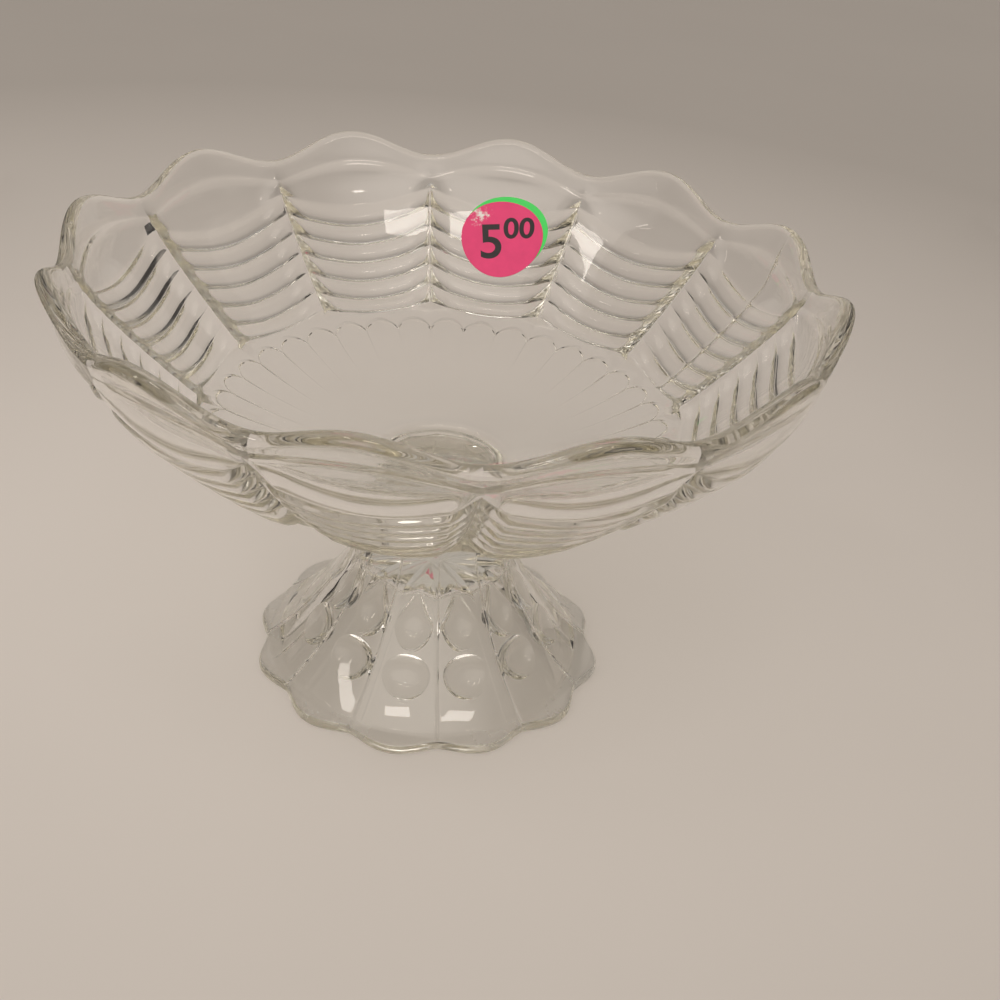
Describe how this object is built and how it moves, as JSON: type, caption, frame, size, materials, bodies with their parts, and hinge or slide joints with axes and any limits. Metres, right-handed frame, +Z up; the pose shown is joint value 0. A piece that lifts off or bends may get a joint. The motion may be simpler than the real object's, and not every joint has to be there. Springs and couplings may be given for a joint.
{
  "type": "footed candy dish",
  "caption": "Footed candy dish of clear pressed glass: panelled bowl with a scalloped rim and draped ribs on a hollow flared pedestal, with round paper price labels inside.",
  "frame": {"origin": "middle of the ring that the pedestal stands on", "axes": "+Z up along the dish's axis; a border of two panels lies on +X; the labels are inside the bowl towards +Y"},
  "size_m": [0.1944, 0.1944, 0.1229],
  "materials": {
    "clear_glass": "clear fire-polished pressed glass, faintly yellow-green where it is thick",
    "green_paper": "fluorescent green self-adhesive paper",
    "pink_paper": "fluorescent pink self-adhesive paper, scuffed"
  },
  "bodies": {
    "root": {"bowl": "clear_glass", "pedestal": "clear_glass", "under_label": "green_paper", "top_label": "pink_paper"}
  },
  "joints": []
}
